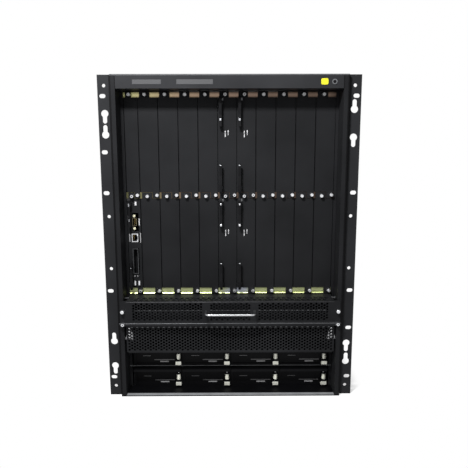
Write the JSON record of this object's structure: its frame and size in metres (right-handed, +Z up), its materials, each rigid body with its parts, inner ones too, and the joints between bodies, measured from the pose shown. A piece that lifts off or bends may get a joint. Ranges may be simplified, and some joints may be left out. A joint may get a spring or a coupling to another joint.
{
  "type": "modular chassis switch",
  "caption": "Rack-mount switch chassis with vertical card slots, slide-in fabric and management cards, fan and filter drawers and slide-in power supplies.",
  "frame": {"origin": "centre of the underside, midway between the side walls and midway front to back", "axes": "+Z up, front of the chassis towards -Y, +X to the right seen from the front"},
  "size_m": [0.4826, 0.6796, 0.6215],
  "materials": {
    "painted_black": "satin black powder coat",
    "zinc_gold": "yellow zinc plating",
    "bright_steel": "bright zinc-plated steel",
    "plated_grey": "plain plated steel",
    "black_plastic": "moulded black plastic",
    "guide_plastic": "grey moulded guides",
    "circuit_board": "green solder mask",
    "filter_foam": "open-cell air filter"
  },
  "bodies": {
    "chassis": {"side_wall_left": "painted_black", "side_wall_right": "painted_black", "top_cover": "painted_black", "bottom_pan": "painted_black", "rack_ear_left": "painted_black", "rack_ear_right": "painted_black", "header_bar": "painted_black", "esd_socket": "bright_steel", "card_rails": "zinc_gold", "card_guides": "guide_plastic", "midplane_board": "circuit_board", "upper_fillers": "painted_black", "lower_fillers": "painted_black", "panel_screws": "bright_steel", "power_shelf": "painted_black", "intake_grille": "painted_black", "rear_panel": "painted_black", "power_inlets": "black_plastic", "tray_runners": "plated_grey"},
    "fabric_module_1": {"fabric_panel_1": "painted_black", "fabric_board_1": "circuit_board"},
    "fabric_upper_lever_1": {"fabric_upper_ejector_1": "black_plastic"},
    "fabric_lower_lever_1": {"fabric_lower_ejector_1": "black_plastic"},
    "fabric_module_2": {"fabric_panel_2": "painted_black", "fabric_board_2": "circuit_board"},
    "fabric_upper_lever_2": {"fabric_upper_ejector_2": "black_plastic"},
    "fabric_lower_lever_2": {"fabric_lower_ejector_2": "black_plastic"},
    "fabric_module_3": {"fabric_panel_3": "painted_black", "fabric_board_3": "circuit_board"},
    "fabric_upper_lever_3": {"fabric_upper_ejector_3": "black_plastic"},
    "fabric_lower_lever_3": {"fabric_lower_ejector_3": "black_plastic"},
    "fabric_module_4": {"fabric_panel_4": "painted_black", "fabric_board_4": "circuit_board"},
    "fabric_upper_lever_4": {"fabric_upper_ejector_4": "black_plastic"},
    "fabric_lower_lever_4": {"fabric_lower_ejector_4": "black_plastic"},
    "management_module": {"management_panel": "painted_black", "management_board": "circuit_board", "management_ports": "plated_grey"},
    "management_upper_lever": {"management_upper_ejector": "black_plastic"},
    "management_lower_lever": {"management_lower_ejector": "black_plastic"},
    "eject_button_left": {"card_eject_button_left": "bright_steel"},
    "eject_button_right": {"card_eject_button_right": "bright_steel"},
    "supply_1": {"power_supply_1": "painted_black"},
    "supply_2": {"power_supply_2": "painted_black"},
    "supply_3": {"power_supply_3": "painted_black"},
    "supply_4": {"power_supply_4": "painted_black"},
    "supply_5": {"power_supply_5": "painted_black"},
    "supply_6": {"power_supply_6": "painted_black"},
    "supply_7": {"power_supply_7": "painted_black"},
    "supply_8": {"power_supply_8": "painted_black"},
    "fan_drawer": {"fan_tray": "painted_black", "fan_tray_handle": "bright_steel"},
    "rotor_1": {"fan_rotor_1": "black_plastic"},
    "rotor_2": {"fan_rotor_2": "black_plastic"},
    "rotor_3": {"fan_rotor_3": "black_plastic"},
    "rotor_4": {"fan_rotor_4": "black_plastic"},
    "rotor_5": {"fan_rotor_5": "black_plastic"},
    "rotor_6": {"fan_rotor_6": "black_plastic"},
    "filter_drawer": {"filter_tray": "painted_black", "air_filter": "filter_foam"}
  },
  "joints": [
    {"name": "fabric_module_1_slide", "type": "slide", "parent": "chassis", "child": "fabric_module_1", "axis": [0, -1, 0], "range_m": [0, 0.38]},
    {"name": "fabric_upper_lever_1_pivot", "type": "hinge", "parent": "fabric_module_1", "child": "fabric_upper_lever_1", "pos_m": [-0.01775, -0.287, 0.5735], "axis": [-1, 0, 0], "range_deg": [0, 35]},
    {"name": "fabric_lower_lever_1_pivot", "type": "hinge", "parent": "fabric_module_1", "child": "fabric_lower_lever_1", "pos_m": [-0.01775, -0.287, 0.41425], "axis": [1, 0, 0], "range_deg": [0, 35]},
    {"name": "fabric_module_2_slide", "type": "slide", "parent": "chassis", "child": "fabric_module_2", "axis": [0, -1, 0], "range_m": [0, 0.38]},
    {"name": "fabric_upper_lever_2_pivot", "type": "hinge", "parent": "fabric_module_2", "child": "fabric_upper_lever_2", "pos_m": [0.01875, -0.287, 0.5735], "axis": [-1, 0, 0], "range_deg": [0, 35]},
    {"name": "fabric_lower_lever_2_pivot", "type": "hinge", "parent": "fabric_module_2", "child": "fabric_lower_lever_2", "pos_m": [0.01875, -0.287, 0.41425], "axis": [1, 0, 0], "range_deg": [0, 35]},
    {"name": "fabric_module_3_slide", "type": "slide", "parent": "chassis", "child": "fabric_module_3", "axis": [0, -1, 0], "range_m": [0, 0.38]},
    {"name": "fabric_upper_lever_3_pivot", "type": "hinge", "parent": "fabric_module_3", "child": "fabric_upper_lever_3", "pos_m": [-0.01775, -0.287, 0.38125], "axis": [-1, 0, 0], "range_deg": [0, 35]},
    {"name": "fabric_lower_lever_3_pivot", "type": "hinge", "parent": "fabric_module_3", "child": "fabric_lower_lever_3", "pos_m": [-0.01775, -0.287, 0.222], "axis": [1, 0, 0], "range_deg": [0, 35]},
    {"name": "fabric_module_4_slide", "type": "slide", "parent": "chassis", "child": "fabric_module_4", "axis": [0, -1, 0], "range_m": [0, 0.38]},
    {"name": "fabric_upper_lever_4_pivot", "type": "hinge", "parent": "fabric_module_4", "child": "fabric_upper_lever_4", "pos_m": [0.01875, -0.287, 0.38125], "axis": [-1, 0, 0], "range_deg": [0, 35]},
    {"name": "fabric_lower_lever_4_pivot", "type": "hinge", "parent": "fabric_module_4", "child": "fabric_lower_lever_4", "pos_m": [0.01875, -0.287, 0.222], "axis": [1, 0, 0], "range_deg": [0, 35]},
    {"name": "management_module_slide", "type": "slide", "parent": "chassis", "child": "management_module", "axis": [0, -1, 0], "range_m": [0, 0.38]},
    {"name": "management_upper_lever_pivot", "type": "hinge", "parent": "management_module", "child": "management_upper_lever", "pos_m": [-0.19625, -0.287, 0.38125], "axis": [-1, 0, 0], "range_deg": [0, 35]},
    {"name": "management_lower_lever_pivot", "type": "hinge", "parent": "management_module", "child": "management_lower_lever", "pos_m": [-0.19625, -0.287, 0.222], "axis": [1, 0, 0], "range_deg": [0, 35]},
    {"name": "eject_button_left_press", "type": "slide", "parent": "management_module", "child": "eject_button_left", "axis": [0, 1, 0], "range_m": [0, 0.002], "stiffness_N_per_m": 150},
    {"name": "eject_button_right_press", "type": "slide", "parent": "management_module", "child": "eject_button_right", "axis": [0, 1, 0], "range_m": [0, 0.002], "stiffness_N_per_m": 150},
    {"name": "supply_1_slide", "type": "slide", "parent": "chassis", "child": "supply_1", "axis": [0, -1, 0], "range_m": [0, 0.4]},
    {"name": "supply_2_slide", "type": "slide", "parent": "chassis", "child": "supply_2", "axis": [0, -1, 0], "range_m": [0, 0.4]},
    {"name": "supply_3_slide", "type": "slide", "parent": "chassis", "child": "supply_3", "axis": [0, -1, 0], "range_m": [0, 0.4]},
    {"name": "supply_4_slide", "type": "slide", "parent": "chassis", "child": "supply_4", "axis": [0, -1, 0], "range_m": [0, 0.4]},
    {"name": "supply_5_slide", "type": "slide", "parent": "chassis", "child": "supply_5", "axis": [0, -1, 0], "range_m": [0, 0.4]},
    {"name": "supply_6_slide", "type": "slide", "parent": "chassis", "child": "supply_6", "axis": [0, -1, 0], "range_m": [0, 0.4]},
    {"name": "supply_7_slide", "type": "slide", "parent": "chassis", "child": "supply_7", "axis": [0, -1, 0], "range_m": [0, 0.4]},
    {"name": "supply_8_slide", "type": "slide", "parent": "chassis", "child": "supply_8", "axis": [0, -1, 0], "range_m": [0, 0.4]},
    {"name": "fan_drawer_slide", "type": "slide", "parent": "chassis", "child": "fan_drawer", "axis": [0, -1, 0], "range_m": [0, 0.31]},
    {"name": "rotor_1_spin", "type": "hinge", "parent": "fan_drawer", "child": "rotor_1", "pos_m": [-0.127, -0.2155, 0.174], "axis": [0, 0, 1], "continuous": true},
    {"name": "rotor_2_spin", "type": "hinge", "parent": "fan_drawer", "child": "rotor_2", "pos_m": [0, -0.2155, 0.174], "axis": [0, 0, 1], "continuous": true},
    {"name": "rotor_3_spin", "type": "hinge", "parent": "fan_drawer", "child": "rotor_3", "pos_m": [0.127, -0.2155, 0.174], "axis": [0, 0, 1], "continuous": true},
    {"name": "rotor_4_spin", "type": "hinge", "parent": "fan_drawer", "child": "rotor_4", "pos_m": [-0.127, -0.0885, 0.174], "axis": [0, 0, 1], "continuous": true},
    {"name": "rotor_5_spin", "type": "hinge", "parent": "fan_drawer", "child": "rotor_5", "pos_m": [0, -0.0885, 0.174], "axis": [0, 0, 1], "continuous": true},
    {"name": "rotor_6_spin", "type": "hinge", "parent": "fan_drawer", "child": "rotor_6", "pos_m": [0.127, -0.0885, 0.174], "axis": [0, 0, 1], "continuous": true},
    {"name": "filter_drawer_slide", "type": "slide", "parent": "chassis", "child": "filter_drawer", "axis": [0, -1, 0], "range_m": [0, 0.305]}
  ]
}
